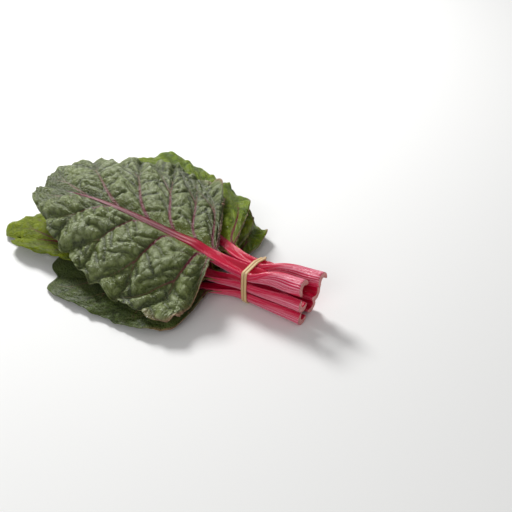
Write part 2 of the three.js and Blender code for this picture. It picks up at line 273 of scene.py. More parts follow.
MAINS = (
    (46.0, 56.0, 84.0, 116.0, 148.0, 184.0, 212.0, 230.0),
    (46.0, 60.0, 92.0, 126.0, 158.0, 192.0, 218.0),
)
TOP_MAINS = ((45, 54, 80, 108, 141, 181, 222), (46, 62, 102, 140, 179, 216))
LEAVES = (
    Leaf(number=1, fan=22, seat=(8.4, 13.9), cut=62, splay=(3.5, 0), end=186, tip=36, half=(70, 78),
         sweep=(96, 86), crown=(13.9, 9, 12, 12, 3), droop=(8, 6), stalk=(14.5, 10), roll=(14, 45),
         veins=MAINS, tissue=Tissue.BRIGHT, seed=23),
    # leaf 2 lies low at the front; its darker finish is painted shade
    Leaf(number=2, fan=-24, seat=(-8.4, 13.9), cut=64, splay=(-3.5, -0.5), end=178, tip=30, half=(72, 78),
         sweep=(86, 98), crown=(13.9, 8, 10, 10, 2), droop=(4, 8), stalk=(14.5, 10), roll=(-14, -45),
         veins=MAINS, tissue=Tissue.PAINTED_SHADE, seed=37),
    Leaf(number=3, fan=10, seat=(8.9, 25.8), cut=66, splay=(4, 4), end=218, tip=36, half=(80, 74),
         sweep=(92, 92), crown=(25.8, 16, 20, 22, 8), droop=(8, 10), stalk=(15, 10), roll=(10, 35),
         veins=MAINS, tissue=Tissue.YELLOW, seed=41),
    Leaf(number=4, fan=-12, seat=(-8.7, 26), cut=65, splay=(-4.5, 4.5), end=248, tip=40, half=(76, 68),
         sweep=(88, 96), crown=(26, 16, 22, 26, 6), droop=(6, 18), stalk=(15, 10), roll=(-14, -45),
         veins=MAINS, tissue=Tissue.YELLOW, seed=53),
    Leaf(number=5, fan=19, seat=(9.6, 38.2), cut=71, splay=(4.5, 11.5), end=216, tip=38, half=(84, 76),
         sweep=(70, 88), crown=(38.2, 30, 38, 46, 30), droop=(8, 16), stalk=(15, 10), roll=(-14, -165),
         veins=MAINS, tissue=Tissue.BRIGHT, seed=67),
    Leaf(number=6, fan=0, seat=(-7.1, 38.9), cut=63, splay=(-2, 12), end=240, tip=36, half=(108, 92),
         sweep=(78, 116), crown=(38.9, 40, 58, 60, 44), droop=(6, 46), stalk=(16, 10.5), roll=(4, -150),
         veins=TOP_MAINS, tissue=Tissue.GREY_GREEN, seed=79),
)


class Pile:
    """The leaves as they lie on one another."""

    CELL = 2.0  # of the map of what already lies there
    LOW = (-300.0, -160.0)
    COUNT = (190, 170)
    UNDER_EDGE = (0.72, 0.98)  # a leaf is free of the one above between these shares of that one's reach

    def __init__(self, leaves: tuple[Leaf, ...]) -> None:
        """Starts with an empty surface."""
        self.leaves = leaves
        self.tops = np.full(self.COUNT, -99.0)

    def height(self, index: int, x: Array, y: Array) -> Array:
        """Gives the smooth height of a leaf's sheet, lifted over every lower leaf.

        Args:
            index: of the leaf, from 0.
            x, y: plan positions.

        Returns:
            The heights of the sheet's top.
        """
        leaf = self.leaves[index]
        along, across = leaf.leaf_point(x, y)
        room = leaf.ridge(along, across)
        height = leaf.own_height(along, across)
        for lower in range(index):
            here = self.leaves[lower].presence(x, y)
            rest = here * (self.height(lower, x, y) + AIR + room)
            soft = (height + rest + np.sqrt((height - rest) ** 2 + DRAPE**2)) / 2
            height = np.where(here > 0, soft, height)
        return np.maximum(height, SHEET + room)

    def cover(self, index: int, x: Array, y: Array) -> Array:
        """Returns how far points of a leaf are covered by the leaves above it, from 0 to 1."""
        over = np.zeros(np.shape(x))
        for upper in self.leaves[index + 1:]:
            along, across = upper.leaf_point(x, y)
            side = np.where(across > 0, upper.half[0], upper.half[1])
            middle = (upper.end + upper.tip + TIE_TO_LOBES) / 2
            reach = np.hypot((along - middle) / (upper.end + upper.tip - middle), across / side)
            over = np.maximum(over, 1 - ramp(reach, *self.UNDER_EDGE))
        return over

    def _cells(self, x: Array, y: Array) -> tuple[Array, Array]:
        """Returns the map's cell of each point."""
        ix = np.clip(((x - self.LOW[0]) / self.CELL).astype(int), 0, self.COUNT[0] - 1)
        iy = np.clip(((y - self.LOW[1]) / self.CELL).astype(int), 0, self.COUNT[1] - 1)
        return ix, iy

    def lay(self, points: Array) -> None:
        """Adds a leaf's upper points to the map of what lies there."""
        ix, iy = self._cells(points[..., 0], points[..., 1])
        np.maximum.at(self.tops, (ix.ravel(), iy.ravel()), points[..., 2].ravel())

    def lift(self, points: Array, gap: float) -> Array:
        """Gives how far a grid of points has to rise to clear what already lies there.

        Args:
            points: grid of points of a leaf's underside.
            gap: height to keep above the leaves below.

        Returns:
            The rise of each point, smoothed over the leaf.
        """
        ix, iy = self._cells(points[..., 0], points[..., 1])
        below = np.maximum(spread_up(self.tops, 1)[ix, iy], 0.0)
        rise = np.maximum(below + gap - points[..., 2], 0.0)
        return blurred(spread_up(rise, 4), 8)


# ---- Meshes ----


def new_piece(name: str, points: Array, faces: list[tuple[int, ...]] | Array) -> bpy.types.Object:
    """Makes a smooth mesh object from points in the bunch's own axes.

    Args:
        name: of the piece.
        points: one row for each vertex, in millimetres.
        faces: vertex numbers of each face.

    Returns:
        The object, linked to the scene.
    """
    mesh = bpy.data.meshes.new(name)
    mesh.from_pydata((points + SHIFT) * MM, [], faces)
    mesh.polygons.foreach_set("use_smooth", np.ones(len(mesh.polygons), bool))
    mesh.update()
    piece = bpy.data.objects.new(name, mesh)
    bpy.context.collection.objects.link(piece)
    return piece


def add_value(piece: bpy.types.Object, name: str, values: Array) -> None:
    """Stores one number, or one vector, for each vertex under a name that materials read."""
    kind = "FLOAT_VECTOR" if values.ndim == 2 else "FLOAT"
    layer = piece.data.attributes.new(name, kind, "POINT")
    layer.data.foreach_set("vector" if values.ndim == 2 else "value", values.astype(np.float32).ravel())


def fit_in_bunch(piece: bpy.types.Object, node: str) -> None:
    """Puts a piece in the place of its CAD node, on the bunch's one body."""
    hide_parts(node)
    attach(piece, "root")
    log.info("%s: %d faces", piece.name, len(piece.data.polygons))


# ---- Blade ----


@dataclass
class VeinLine:
    """Points along veins of one order, in millimetres along and across the midrib."""

    along: Array
    across: Array
    width: Array  # half the width that shows
    red: Array  # from 0, green, to 1, crimson

    def nearest(self, along: Array, across: Array) -> tuple[Array, Array, Array]:
        """Finds the nearest vein.

        Args:
            along, across: the places to look from.

        Returns:
            The distance, and the half width and redness of the vein there.
        """
        tree = KDTree(len(self.along))
        for i, (a, b) in enumerate(zip(self.along.tolist(), self.across.tolist())):
            tree.insert((a, b, 0.0), i)
        tree.balance()
        flat = zip(along.ravel().tolist(), across.ravel().tolist())
        found = [tree.find((a, b, 0.0))[1:] for a, b in flat]
        index = np.array([i for i, _ in found]).reshape(along.shape)
        distance = np.array([d for _, d in found]).reshape(along.shape)
        return distance, self.width[index], self.red[index]


@dataclass
class Blade:
    """A leaf's blade: a thin crinkled sheet in two halves that meet beyond the midrib."""

    leaf: Leaf
    pile: Pile
    rows: int = 120  # along each side of the midrib
    columns: int = 50  # from the midrib to the margin
    fold: float = 5.0  # height of the broad folds between the main veins
    pucker: float = 2.0  # height of the puckers between the side veins
    blister: float = 1.0  # height of the small blisters
    ruffle: float = 5.0  # height of the waves of the margin
    curl: float = 4.0  # how far the margin is rolled under
    thickness: float = 0.65
    blunt: tuple[float, float] = (0.9, 0.9)  # fullness beside the tip, on the +y and -y side
    front: float = 1.0  # width of the -y half, as a share of the full one
    lobe: float = 0.0  # degrees that the lowest lobe on the -y side turns back towards the stalk

    def row_starts(self) -> Array:
        """Returns where rows leave the midrib, closer together at the lobes and the tip."""
        s = np.linspace(TIE_TO_BLADE, self.leaf.end, 2000)
        density = 0.5 + 2.2 * np.exp(-(((s - TIE_TO_LOBES) / 9) ** 2)) + 1.8 * np.exp((s - self.leaf.end) / 7)
        total = np.concatenate([[0.0], np.cumsum((density[1:] + density[:-1]) / 2)])
        return np.interp(np.linspace(0, total[-1], self.rows), total, s)

    def run(self, start: Array) -> Array:
        """Returns the share of the way from the lobes to the end of the midrib."""
        return np.clip((start - TIE_TO_LOBES) / (self.leaf.end - TIE_TO_LOBES), 0.0, 1.0)

    def row_length(self, start: Array, side: Array) -> Array:
        """Gives the distance from the midrib to the margin along a row.

        Args:
            start: where the row leaves the midrib.
            side: 1 for the +y half, and -1 for the other.

        Returns:
            The length of each row.
        """
        leaf = self.leaf
        half = np.where(side > 0, *leaf.half)
        t = self.run(start)
        at_lobes, slope, curve = LENGTHS
        fuller = np.where(side > 0, *FULLER) * t * t * (1 - t)
        body = half * (at_lobes + slope * t + curve * t * t) * (1 + fuller)
        rounded = 1 + np.where(side > 0, *self.blunt) * t**8 * (1 - t**8)
        before, length, suddenness = OPENING
        opened = 1 - np.exp(-((np.maximum(start - TIE_TO_LOBES + before, 0.0) / length) ** suddenness))
        wing_run = np.clip((start - TIE_TO_BLADE) / (TIE_TO_LOBES - TIE_TO_BLADE), 0.0, 1.0)
        wing = WING[0] + WING[1] * wing_run**2
        at_tip = (leaf.tip / (half * sum(LENGTHS))) * t**6 + (1 - t**6)
        lobed = 0.065 * waves(start * (1 + t), side * 7, 17, leaf.seed)
        lobed += 0.015 * waves(start, side * 3, 8, leaf.seed + 1)
        body *= at_tip * rounded * (1 + lobed * (1 - t**3)) * np.where(side < 0, self.front, 1.0)
        return wing * (1 - opened) + body * opened

    def place(self, start: Array, share: Array, side: Array) -> tuple[Array, Array]:
        """Gives a point of the blade from its row and its share of the way to the margin.

        Args:
            start: where the row leaves the midrib.
            share: from 0 at the midrib to 1 at the margin.
            side: 1 for the +y half, and -1 for the other.

        Returns:
            Distances along and across the midrib.
        """
        leaf = self.leaf
        sweep = np.radians(np.where(side > 0, *leaf.sweep))
        near_lobe = np.exp(-np.maximum(start - TIE_TO_LOBES + 6, 0) / 14) * (side < 0)
        angle = sweep * (1 - self.run(start)) ** TURN * (1 - BEND * share)
        angle = angle + np.radians(self.lobe) * near_lobe * share
        length = share * self.row_length(start, side)
        slot = leaf.stalk_half(start) * INSET * np.clip((leaf.end - start) / MIDRIB_END, 0.0, 1.0)
        return start + length * np.cos(angle), side * (slot + length * np.sin(angle))

    def vein_lines(self) -> tuple[VeinLine, VeinLine]:
        """Returns the main veins with their forks, and the side veins between them."""
        rng = np.random.default_rng(self.leaf.seed)
        mains: list[tuple[Array, ...]] = []
        sides: list[tuple[Array, ...]] = []
        for side, starts in zip((1.0, -1.0), self.leaf.veins):
            starts = [s for s in starts if s < self.leaf.end - 6]
            gaps = np.diff([*starts, self.leaf.end + 14])
            for start, gap in zip(starts, gaps):
                self._grow(mains, sides, side, start, float(gap), rng)
        return self._joined(mains), self._joined(sides)

    def _grow(self, mains: list, sides: list, side: float, start: float, gap: float,
              rng: np.random.Generator) -> None:
        """Adds one main vein with its fork and its side veins.

        Args:
            mains, sides: the lists to add to.
            side: 1 for the +y half, and -1 for the other.
            start: where the vein leaves the midrib.
            gap: distance to the next main vein.
            rng: for the small differences between veins.
        """
        fork_at = rng.uniform(0.42, 0.6)
        phase = rng.uniform(0, 6)
        strength = rng.uniform(0.85, 1.15) * (1.0 if 50 < start < self.leaf.end - 45 else 0.7)
        bend = rng.uniform(5, 9) + (34 * math.exp(-(start - 54) / 22) if start > 50 else 0.0)

        def route(share: Array, branch: float) -> Array:
            """Returns the start position of the row that a vein has reached at a share of the way out."""
            beyond = np.maximum(share - fork_at, 0) / (1 - fork_at)
            lead = min(12.0, 0.4 * gap) * np.exp(-share / 0.09)
            wander = 1.3 * np.sin(9 * share + phase) * share
            return start - lead + bend * share**2 + wander + branch * 0.3 * gap * beyond**0.9

        for branch in (-1.0, 1.0):
            low = 0.0 if branch < 0 else fork_at
            share = np.linspace(low, 0.97, 110)
            along, across = self.place(route(share, branch), share, side)
            width = strength * (1.6 * (1 - share) ** 1.3 + 0.25)
            red = np.clip(1.4 - share * rng.uniform(1.1, 1.7), 0.0, 1.0)
            mains.append((along, across, width, red))
            flip = 1.0
            for at in np.arange(low + 0.08, 0.93, 0.08):
                flip = -flip
                at += rng.uniform(-0.03, 0.03)
                t = np.linspace(0, 1, 26)
                out = at + rng.uniform(0.03, 0.2) * t**rng.uniform(0.9, 1.6)
                far = rng.uniform(0.3, 0.62) * gap * (1.0 if at < fork_at else 0.55)
                where = route(np.array([at]), branch) + flip * far * t + 0.8 * np.sin(5 * t + phase)
                along, across = self.place(where, np.minimum(out, 1.0), side)
                sides.append((along, across, 0.5 * (1 - 0.6 * t), np.clip(0.75 - at - 0.4 * t, 0, 1)))

    @staticmethod
    def _joined(lines: list[tuple[Array, ...]]) -> VeinLine:
        """Returns all the lines as one set of points."""
        return VeinLine(*(np.concatenate(column) for column in zip(*lines)))

    def build(self) -> bpy.types.Object:
        """Returns the finished blade."""
        leaf, pile = self.leaf, self.pile
        index = leaf.number - 1
        starts = self.row_starts()
        start = np.concatenate([starts, starts[-2::-1]])[:, None]
        side = np.concatenate([-np.ones(len(starts)), np.ones(len(starts) - 1)])[:, None]
        share = np.linspace(0, 1, self.columns + 1)[None, :] ** 0.96
        along, across = self.place(start, share, side)
        x, y = leaf.plan_point(along, across)
        base = np.stack([x, y, pile.height(index, x, y)], axis=-1)
        normal = self._normals(base)
        cover = pile.cover(index, x, y)

        main, side_veins = self.vein_lines()
        main_mm, main_width, red = main.nearest(along, across)
        side_mm, side_width, side_red = side_veins.nearest(along, across)
        from_rib = np.maximum(np.abs(across) - leaf.stalk_half(along), 0.0)
        detail, crest = self._relief(along, across, share, main_mm, side_mm, main_width, from_rib)
        loose = 1 - PRESSED[0] * cover
        points = base + normal * (detail * loose - SUNK)[..., None]

        margin = np.linalg.norm(np.diff(base[:, -1], axis=0), axis=-1)
        arc = np.concatenate([[0.0], np.cumsum(margin)])[:, None]
        loose_edge = (1 - PRESSED[1] * cover) * ramp(start, TIE_TO_LOBES - 8, TIE_TO_LOBES + 8)
        at_tip = 1 - 0.7 * ramp(self.run(start), 0.55, 0.95)
        points += normal * (self._ruffle(arc, share) * loose_edge * at_tip)[..., None]
        points += self._roll_under(points, normal, arc, share, start)
        points[..., 2] += pile.lift(points - [0, 0, SHEET], GAP)
        pile.lay(points)

        facing = self._normals(points)
        ribs = 1.5 * np.exp(-((main_mm / (main_width + 0.5)) ** 2)) * main_width
        ribs += 0.35 * np.exp(-((side_mm / 0.9) ** 2))
        thick = self.thickness * (1 - 0.35 * share**4) + ribs * ramp(1 - share, 0.0, 0.06)
        under = points - facing * thick[..., None]
        under[..., 2] = np.maximum(under[..., 2], 0.1 - SHIFT[2])
        points[..., 2] = np.maximum(points[..., 2], under[..., 2] + 0.4)

        piece = self._sheet(points, under)
        flat = np.stack([along, across, np.zeros_like(along)], axis=-1)
        grow_red = np.clip(1 - from_rib / 26, 0, 1) * np.clip(1.4 - (start - 60) / 120, 0, 1)
        values = {
            "vein_mm": main_mm / (main_width + 0.15),
            "vein_red": np.clip(red * (0.55 + 0.6 * (1 - self.run(start))) + 0.2 * grow_red, 0, 1),
            "side_mm": np.minimum(side_mm, 9.0) / (side_width + 0.25),
            "side_red": np.clip(side_red * (1 - self.run(start)) + 0.3 * grow_red, 0, 1),
            "crest": crest,
            "rim": np.broadcast_to(share, along.shape),
            "near_rib": np.exp(-from_rib / 14.0) * np.clip(1.3 - self.run(start) * 1.6, 0, 1),
            "basal": (1 - ramp(start, 58, 84)) * np.ones_like(along),
        }
        for name, grid in values.items():
            add_value(piece, name, np.concatenate([grid.ravel(), grid.ravel()]))
        add_value(piece, "flat", np.concatenate([flat.reshape(-1, 3), flat.reshape(-1, 3)]))
        below = np.concatenate([np.zeros(along.size), np.ones(along.size)])
        add_value(piece, "below", below)
        return piece

    def _relief(self, along: Array, across: Array, share: Array, main_mm: Array, side_mm: Array,
                main_width: Array, from_rib: Array) -> tuple[Array, Array]:
        """Gives the crinkled relief of the sheet.

        Args:
            along, across: the points of the sheet, along and across the midrib.
            share: their share of the way to the margin.
            main_mm, side_mm: distances to the nearest main vein and side vein.
            main_width: half width of the nearest main vein.
            from_rib: distance from the side of the midrib.

        Returns:
            The height of the relief, and how near each point is to a crest, from 0 to 1, which places the
            painted shade and painted sheen in the blade's colour.
        """
        seed = self.leaf.seed
        warp_a = along + 3.0 * waves(along, across, 17, seed + 2)
        warp_b = across + 3.0 * waves(along, across, 17, seed + 3)
        valley = np.minimum(main_mm, from_rib * 0.8)
        vary = 1 + 0.35 * waves(along, across, 30, seed + 4)
        smoother = 1 - 0.6 * ramp(along, self.leaf.end - 30, self.leaf.end + 10)
        fold = self.fold * smoother * vary * (0.3 + 0.7 * share) * dome(valley, 8.0)
        both = np.minimum(side_mm, valley)
        pucker = self.pucker * smoother * (1 + 0.5 * waves(along, across, 13, seed + 5)) * dome(both, 3.0)
        edge = np.minimum(blister_edges(warp_a, warp_b, 8.5, seed + 6), both)
        blister = self.blister * (1 + 0.6 * waves(along, across, 9, seed + 7)) * dome(edge, 1.4)
        small = 0.22 * waves(warp_a, warp_b, 2.8, seed + 8) + 0.5 * waves(warp_a, warp_b, 5.5, seed + 9)
        ridge = 0.45 * main_width * np.exp(-((main_mm / (main_width + 0.2)) ** 2))
        hollow = -0.6 * np.exp(-((from_rib / 3.0) ** 2))
        calm = ramp(from_rib, 0.0, 9.0)
        relief = fold + pucker * (0.35 + 0.65 * calm) + (blister + small) * calm + ridge + hollow
        # this crest mask places the painted shade in the valleys and the painted sheen on the crests of the
        # blade's colour
        crest = 0.45 * dome(valley, 7.0) + 0.35 * dome(both, 2.6) + 0.2 * dome(edge, 1.4)
        bumps = pucker + blister + small
        standing = (bumps - blurred(bumps, self.columns // 20)) / (0.5 * self.blister + 0.2 * self.pucker)
        crest = np.clip(0.55 * crest + 0.34 * standing + 0.18, 0, 1)
        return relief, crest

    def _ruffle(self, arc: Array, share: Array) -> Array:
        """Returns the waves of the margin, which fade out towards the midrib."""
        seed = self.leaf.seed
        broad = waves(arc, arc * 0, 21, seed + 12)
        fine = waves(arc, arc * 0, 9, seed + 13)
        return self.ruffle * (broad * share**3.5 + 0.4 * fine * share**8)

    def _roll_under(self, points: Array, normal: Array, arc: Array, share: Array, start: Array) -> Array:
        """Gives how the margin rolls under.

        Args:
            points, normal: of the sheet.
            arc: distance round the margin.
            share: share of the way to the margin.
            start: where the row leaves the midrib.

        Returns:
            The move of each point.
        """
        amount = np.clip(0.55 + 0.6 * waves(arc, arc * 0, 26, self.leaf.seed + 15), 0, 1.2)
        bend = ramp(share, 0.86, 1.04) * amount * ramp(start, TIE_TO_LOBES - 4, TIE_TO_LOBES + 8)
        outward = unit(points[:, -1:] - points[:, -6:-5])
        return -self.curl * bend[..., None] * normal - 0.7 * self.curl * (bend**2)[..., None] * outward

    @staticmethod
    def _normals(points: Array) -> Array:
        """Returns the upward normals of a grid of points."""
        cross = np.cross(np.gradient(points, axis=0), np.gradient(points, axis=1))
        if cross[..., 2].mean() < 0:
            cross = -cross
        return unit(cross)

    def _sheet(self, top: Array, under: Array) -> bpy.types.Object:
        """Returns a closed piece between two grids of points."""
        rows, columns = top.shape[:2]
        number = np.arange(rows * columns).reshape(rows, columns)
        a, b, c, d = number[:-1, :-1], number[1:, :-1], number[1:, 1:], number[:-1, 1:]
        quads = np.stack([a, b, c, d], axis=-1).reshape(-1, 4)
        faces = [quads, quads[:, ::-1] + rows * columns]
        for line in (number[:, 0][::-1], number[:, -1], number[0, :], number[-1, :][::-1]):
            lower = line + rows * columns
            faces.append(np.stack([line[:-1], line[1:], lower[1:], lower[:-1]], axis=-1))
        points = np.concatenate([top.reshape(-1, 3), under.reshape(-1, 3)])
        faces = np.concatenate(faces)
        first = points[quads[len(quads) // 2]]
        if np.cross(first[1] - first[0], first[2] - first[0])[2] < 0:
            faces = faces[:, ::-1]
        return new_piece(f"blade_{self.leaf.number}_crinkled", points, faces.tolist())


# ---- Stalk ----


@dataclass
class Stalk:
    """A leaf's stalk and midrib: ribbed on its back, with a smooth channel along its upper face."""

    leaf: Leaf
    pile: Pile
    step: float = 2.2  # between rings
    per_span: int = 9  # points of the outline between two of its knots
    ribs: int = 26  # in a full turn
    rib_height: float = 0.3
    channel: float = 0.5  # depth of the channel at the cut end, as a share of the stalk's depth

    # Outline across the stalk: share of half the width, of the channel's depth, and of the stalk's depth.
    KNOTS = (
        (-0.82, 0.0, 0.0), (-0.56, 0.32, 0.0), (-0.3, 0.86, 0.0), (0.0, 1.0, 0.0), (0.3, 0.86, 0.0),
        (0.56, 0.32, 0.0), (0.82, 0.0, 0.0), (1.0, 0.0, 0.25), (0.9, 0.0, 0.62), (0.5, 0.0, 0.93),
        (0.0, 0.0, 1.0), (-0.5, 0.0, 0.93), (-0.9, 0.0, 0.62), (-1.0, 0.0, 0.25),
    )
    LIPS = 6  # number of the knot on the channel's second lip; the first lip is knot 0

    def outline(self) -> tuple[Array, Array, Array]:
        """Returns the smooth outline, how far each point is in the channel, and where the back is ribbed."""
        knots = np.array(self.KNOTS)
        count = len(knots)
        t = np.arange(count * self.per_span) / self.per_span
        i = np.floor(t).astype(int)
        f = (t - i)[:, None]
        p = [knots[(i + k) % count] for k in (-1, 0, 1, 2)]
        smooth = 0.5 * (
            2 * p[1] + (p[2] - p[0]) * f + (2 * p[0] - 5 * p[1] + 4 * p[2] - p[3]) * f**2
            + (3 * p[1] - p[0] - 3 * p[2] + p[3]) * f**3
        )
        inside = ramp(t, 0.1, 0.9) * (1 - ramp(t, 5.1, 5.9))
        ribbed = ramp(t, 7.5, 8.3) * (1 - ramp(t, 11.9, 12.6))
        return smooth, inside, ribbed

    def path(self, along: Array) -> Array:
        """Returns the middle of the upper face at distances from the band."""
        leaf = self.leaf
        fan = math.radians(leaf.fan)
        out = np.maximum(-along, 0) / leaf.cut
        x = np.where(along < 0, -along, -along * math.cos(fan))
        reach = np.maximum(-x, 0)
        hinge = np.where(reach < FAN_RUN, reach**2 / (2 * FAN_RUN), reach - FAN_RUN / 2)
        y = leaf.seat[0] + out * leaf.splay[0] + math.tan(fan) * hinge
        lying = self.pile.height(leaf.number - 1, x, y)
        z = np.where(along < 0, leaf.seat[1] + out * leaf.splay[1], lying)
        kernel = np.exp(-((np.arange(-4, 5) / 2.2) ** 2))
        soft = np.convolve(np.pad(z, 4, mode="edge"), kernel / kernel.sum(), mode="valid")
        return np.stack([x, y, soft], axis=-1)

    def roll(self, along: Array) -> Array:
        """Returns the twist: none where the blade opens out, and growing to the band and the cut end."""
        in_band, at_cut = np.radians(self.leaf.roll)
        towards_cut = (at_cut - in_band) * ramp(-along, 0, self.leaf.cut)
        return in_band * (1 - ramp(along, 0, TIE_TO_LOBES)) + towards_cut

    def rings(self) -> tuple[Array, Array, Array, Array, Array]:
        """Returns the points of each ring, distances from the band, the outline's two masks, and the ribs."""
        leaf = self.leaf
        end = leaf.end - 1.0
        along = np.linspace(-leaf.cut, end, int((end + leaf.cut) / self.step))
        outline, inside, ribbed = self.outline()
        half = leaf.stalk_half(along) * (1 - 0.85 * ramp(along, end - 22, end))
        depth = leaf.stalk_depth(along) * (1 - 0.7 * ramp(along, end - 22, end))
        channel = depth * (self.channel * (1 - ramp(along, 0, 60)) - 0.3 * ramp(along, 25, 80))
        middle = self.path(along)
        middle[:, 2] -= 0.4 + 1.1 * ramp(along, end - 40, end)
        ribbing = self.rib_height * ramp(half, 1.5, 6.0)
        bow = 0.35 * waves(along, along * 0, 23, leaf.seed + 31)
        side = outline[None, :, 0] * (half + 0.25 * waves(along, along * 0, 31, leaf.seed + 32))[:, None]
        up = (0.5 - outline[None, :, 2]) * depth[:, None] - outline[None, :, 1] * channel[:, None]
        roll = self.roll(along)[:, None]
        away = unit(np.stack([side, up], axis=-1))
        turned = np.arctan2(up / depth[:, None], side / (2 * half[:, None])) + roll
        uneven = turned + 0.06 * np.sin(5 * turned + leaf.seed) + 0.03 * np.sin(13 * turned)
        rib = np.cos(self.ribs * uneven) * ribbed[None, :]
        side = side + away[..., 0] * rib * ribbing[:, None]
        up = up + away[..., 1] * rib * ribbing[:, None]
        heading = math.radians(leaf.fan) * np.clip(along / FAN_RUN, 0, 1)[:, None]
        across = side * np.cos(roll) - up * np.sin(roll)
        rise = side * np.sin(roll) + up * np.cos(roll)
        slope = np.gradient(middle[:, 2], along)[:, None]
        points = np.stack([
            middle[:, None, 0] + across * np.sin(heading) + rise * slope * np.cos(heading),
            middle[:, None, 1] + across * np.cos(heading) + bow[:, None] * ramp(-along, 5, 60)[:, None],
            middle[:, None, 2] - depth[:, None] / 2 + rise,
        ], axis=-1)
        return points, along, inside, ribbed, rib

    def build(self) -> bpy.types.Object:
        """Returns the finished stalk, with its cut face and its fine far end."""
        points, along, inside, ribbed, rib = self.rings()
        count, around = points.shape[:2]
        cut, cut_faces = self._cut_face(points[0], count * around)
        number = np.arange(count * around).reshape(count, around)
        after = np.roll(number, -1, axis=1)
        quads = np.stack([number[:-1], after[:-1], after[1:], number[1:]], axis=-1).reshape(-1, 4)
        tip = len(cut) + count * around
        fan = [(int(a), int(b), tip) for a, b in zip(number[-1], after[-1])]
        everything = np.concatenate([points.reshape(-1, 3), cut, points[-1].mean(axis=0)[None]])
        faces = [*quads.tolist(), *cut_faces, *fan]
        piece = new_piece(f"stalk_{self.leaf.number}_ribbed", everything, faces)
        extra = len(everything) - count * around
        run = np.repeat(along[:, None], around, axis=1).ravel()
        turn = np.tile(np.arange(around) / around, count)
        onto = {
            "channel": np.concatenate([np.tile(inside, count), np.zeros(extra)]),
            "rib": np.concatenate([rib.ravel(), np.zeros(extra)]),
            "ribbed": np.concatenate([np.tile(ribbed, count), np.zeros(extra)]),
            "cut": np.concatenate([np.zeros(count * around), np.ones(extra - 1), [0]]),
            "from_band": np.concatenate([run, np.full(extra, -self.leaf.cut)]),
        }
        for name, values in onto.items():
            add_value(piece, name, values)
        radius = 30.0
        grain = np.stack([run, radius * np.cos(2 * np.pi * turn), radius * np.sin(2 * np.pi * turn)], axis=-1)
        add_value(piece, "flat", np.concatenate([grain, everything[count * around:] * 3.0]))
        return piece

    def _cut_face(self, ring: Array, first: int) -> tuple[Array, list[tuple[int, ...]]]:
        """Makes the cut face: rings that shrink on to the middle line of the stalk's wall.

        Args:
            ring: the outline at the cut.
            first: number of the face's first own vertex.

        Returns:
            Its own vertices, and its faces.
        """
        around = len(ring)
        line = (ring + ring[[self._twin(i) for i in range(around)]]) / 2
        shares = (0.06, 0.22, 0.55, 0.9)
        dips = (0.0, -0.25, -0.55, -0.75)
        own, faces = [], []
        previous = np.arange(around)
        for level, (share, dip) in enumerate(zip(shares, dips)):
            loop = ring * (1 - share) + line * share
            bump = 0.25 * waves(loop[:, 1], loop[:, 2], 1.3, self.leaf.seed + 40 + level)
            loop[:, 0] += dip + bump + (0.15 if level == 0 else 0.0)
            own.append(loop)
            current = first + level * around + np.arange(around)
            nxt, now = np.roll(previous, -1), np.roll(current, -1)
            faces += [tuple(map(int, q)) for q in zip(previous, current, now, nxt)]
            previous = current
        faces += self._closing(previous)
        return np.concatenate(own), faces

    def _twin(self, point: int) -> int:
        """Finds the point of the outline that lies across the stalk's wall from another.

        Args:
            point: number of that other.

        Returns:
            Its number.
        """
        knots = len(self.KNOTS)
        behind = knots - self.LIPS
        t = point / self.per_span
        twin = knots - t * behind / self.LIPS if t <= self.LIPS else (knots - t) * self.LIPS / behind
        return int(round(twin * self.per_span)) % (knots * self.per_span)

    def _closing(self, loop: Array) -> list[tuple[int, ...]]:
        """Zips the innermost ring's channel side to its back side.

        Args:
            loop: vertex numbers of that ring.

        Returns:
            The faces.
        """
        top = list(range(0, self.LIPS * self.per_span + 1))
        back = [(-j) % len(loop) for j in range(0, (len(self.KNOTS) - self.LIPS) * self.per_span + 1)]
        faces, i, j = [], 0, 0
        while i < len(top) - 1 or j < len(back) - 1:
            step_top = j == len(back) - 1 or (i < len(top) - 1 and i * (len(back) - 1) <= j * (len(top) - 1))
            if step_top:
                face = (loop[top[i]], loop[back[j]], loop[top[i + 1]])
                i += 1
            else:
                face = (loop[top[i]], loop[back[j]], loop[back[j + 1]])
                j += 1
            if len(set(map(int, face))) == 3:
                faces.append(tuple(map(int, face)))
        return faces


# ---- Rubber band ----


